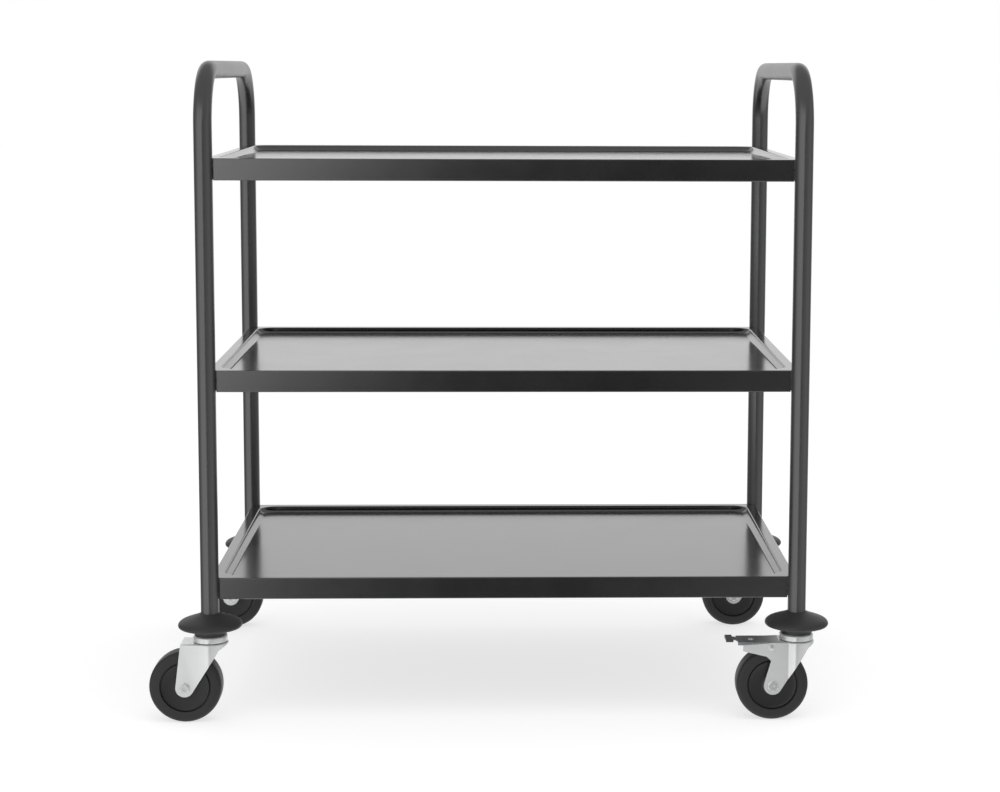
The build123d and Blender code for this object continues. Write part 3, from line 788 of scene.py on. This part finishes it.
def both_ways(rings):
    """All the rings of a piece from those of one side, as the other side mirrors them."""
    return rings + [(radius, -height) for radius, height in reversed(rings)]


tyre_side = in_mm([(34.9, 12.5), (34.9, 15.3), (35.6, 16), (44, 16), (46.2, 15.7), (47.8, 14.9), (49, 13.6),
                   (49.7, 11.6), (49.95, 9), (50, 4)])
hub_side = in_mm([(7.55, 16.6), (8.4, 17.5), (10.9, 17.5), (11.5, 16.9), (11.7, 14.6), (12.6, 13.9),
                  (16, 13.7), (30, 14.3), (31.6, 14.6), (32.4, 15), (33, 15), (33.4, 14.6), (33.5, 12.4),
                  (36, 12.4)])
bush_side = in_mm([(4.05, 17.1), (4.5, 17.5), (7.1, 17.5), (7.5, 17.1)])
for corner in corners:
    place = Vector((*leg_place[corner], 0)) + axle
    for side_rings, sides, name, finish, slot in (
            (tyre_side, 128, "tyre", tyre_rubber, "tyre_rubber"),
            (hub_side, 96, "wheel_hub", wheel_plastic, "wheel_plastic"),
            (bush_side, 48, "wheel_bush", nylon, "bush_plastic")):
        piece = turned_piece(both_ways(side_rings), sides=sides)
        piece.rotation_euler = (math.pi / 2, 0, 0)
        piece.location = place
        close(piece, f"{name}_visual_{corner}", finish, f"wheel_{corner}",
              [f"{name}_{corner}"], smooth=35)

# The axle is an M8 bolt through both legs of the fork, with its hexagon head at the front
# and its nut at the back.
axle_radius, axle_flats, axle_head, axle_point = 4 * mm, 13 * mm, 3.6 * mm, 0.8 * mm
axle_nut, axle_nut_bore, axle_end = 6.5 * mm, 4.05 * mm, fork_half + 8 * mm
for corner in corners:
    place = Vector((*leg_place[corner], 0)) + axle
    shank = turned_piece([(axle_radius, -fork_half), (axle_radius, axle_end - axle_point),
                          (axle_radius - axle_point, axle_end)], sides=32, ends="discs")
    head = hexagon(axle_flats, fork_half, fork_half + axle_head)
    head.rotation_euler = (math.pi, 0, 0)
    bpy.ops.object.select_all(action="DESELECT")
    head.select_set(True)
    bpy.context.view_layer.objects.active = head
    bpy.ops.object.transform_apply(rotation=True)
    bolt = joined(shank, head)
    nut = hexagon(axle_flats, fork_half, fork_half + axle_nut, axle_nut_bore, both_faces=True)
    for piece, name in ((bolt, "axle_bolt"), (nut, "axle_nut")):
        piece.rotation_euler = (-math.pi / 2, 0, 0)
        piece.location = place
        close(piece, f"{name}_visual_{corner}", fastener_steel, f"caster_{corner}",
              [f"{name}_{corner}"])

# At the right end each caster has a foot brake: a zinc-plated channel with a tongue, on a riveted
# pin through the fork's wings, with a steel shoe under it and a grey plastic pedal pushed on.
pedal_plastic = finish_of("pedal_plastic", (0.06, 0.062, 0.066), (0.1, 0.1, 0.1),
                          roughness=0.45, spread=0.04, grain_size=1500.0, grain_depth=0.12)
# The lever is zinc-plated like the fork. Its darker colour is painted shade for the dark reflection in its
# channel, and its much lighter edge colour is painted highlight.
lever_zinc_painted_shade = finish_of("lever_zinc_painted_shade", (0.46, 0.465, 0.475), (0.85, 0.85, 0.86),
                       roughness=0.33, spread=0.05, metallic=1.0, grain_size=600.0, grain_depth=0.06)
lever_edge, shoe_edge, pedal_edge = 0.45 * mm, 0.4 * mm, 0.5 * mm
pin_side = in_mm([(2.2, 1.2), (3.4, 0.96), (4, 0.42), (4, 0), (2.5, 0)], fork_half)


def pressed_copy(node, rounding):
    """The pressed shape of a CAD node with its loose triangles merged and its edges rounded."""
    piece = bpy.data.objects.new("pressed", frame["nodes"][node].data.copy())
    bpy.context.collection.objects.link(piece)
    bpy.ops.object.select_all(action="DESELECT")
    piece.select_set(True)
    bpy.context.view_layer.objects.active = piece
    bpy.ops.object.mode_set(mode="EDIT")
    bpy.ops.mesh.select_all(action="SELECT")
    bpy.ops.mesh.remove_doubles(threshold=0.002 * mm)
    bpy.ops.mesh.dissolve_limited(angle_limit=math.radians(0.5))
    bpy.ops.object.mode_set(mode="OBJECT")
    apply_modifier(piece, "BEVEL", width=rounding, segments=2, limit_method="ANGLE",
                   angle_limit=math.radians(40), use_clamp_overlap=True)
    return piece


for corner in ("front_right", "rear_right"):
    close(pressed_copy(f"brake_lever_{corner}", lever_edge), f"lever_{corner}", lever_zinc_painted_shade,
          f"brake_{corner}", [f"brake_lever_{corner}"], flats=True)
    close(pressed_copy(f"brake_shoe_{corner}", shoe_edge), f"shoe_{corner}", zinc,
          f"brake_{corner}", [f"brake_shoe_{corner}"], flats=True)
    close(pressed_copy(f"brake_pedal_{corner}", pedal_edge), f"pedal_{corner}", pedal_plastic,
          f"brake_{corner}", [f"brake_pedal_{corner}"], flats=True)
    pin = turned_piece(both_ways(pin_side), sides=32, ends="discs")
    pin.rotation_euler = (math.pi / 2, 0, 0)
    pin.location = joint_place[f"brake_pedal_{corner}"]
    close(pin, f"pivot_pin_{corner}", fastener_steel, f"caster_{corner}",
          [f"brake_pivot_pin_{corner}"])
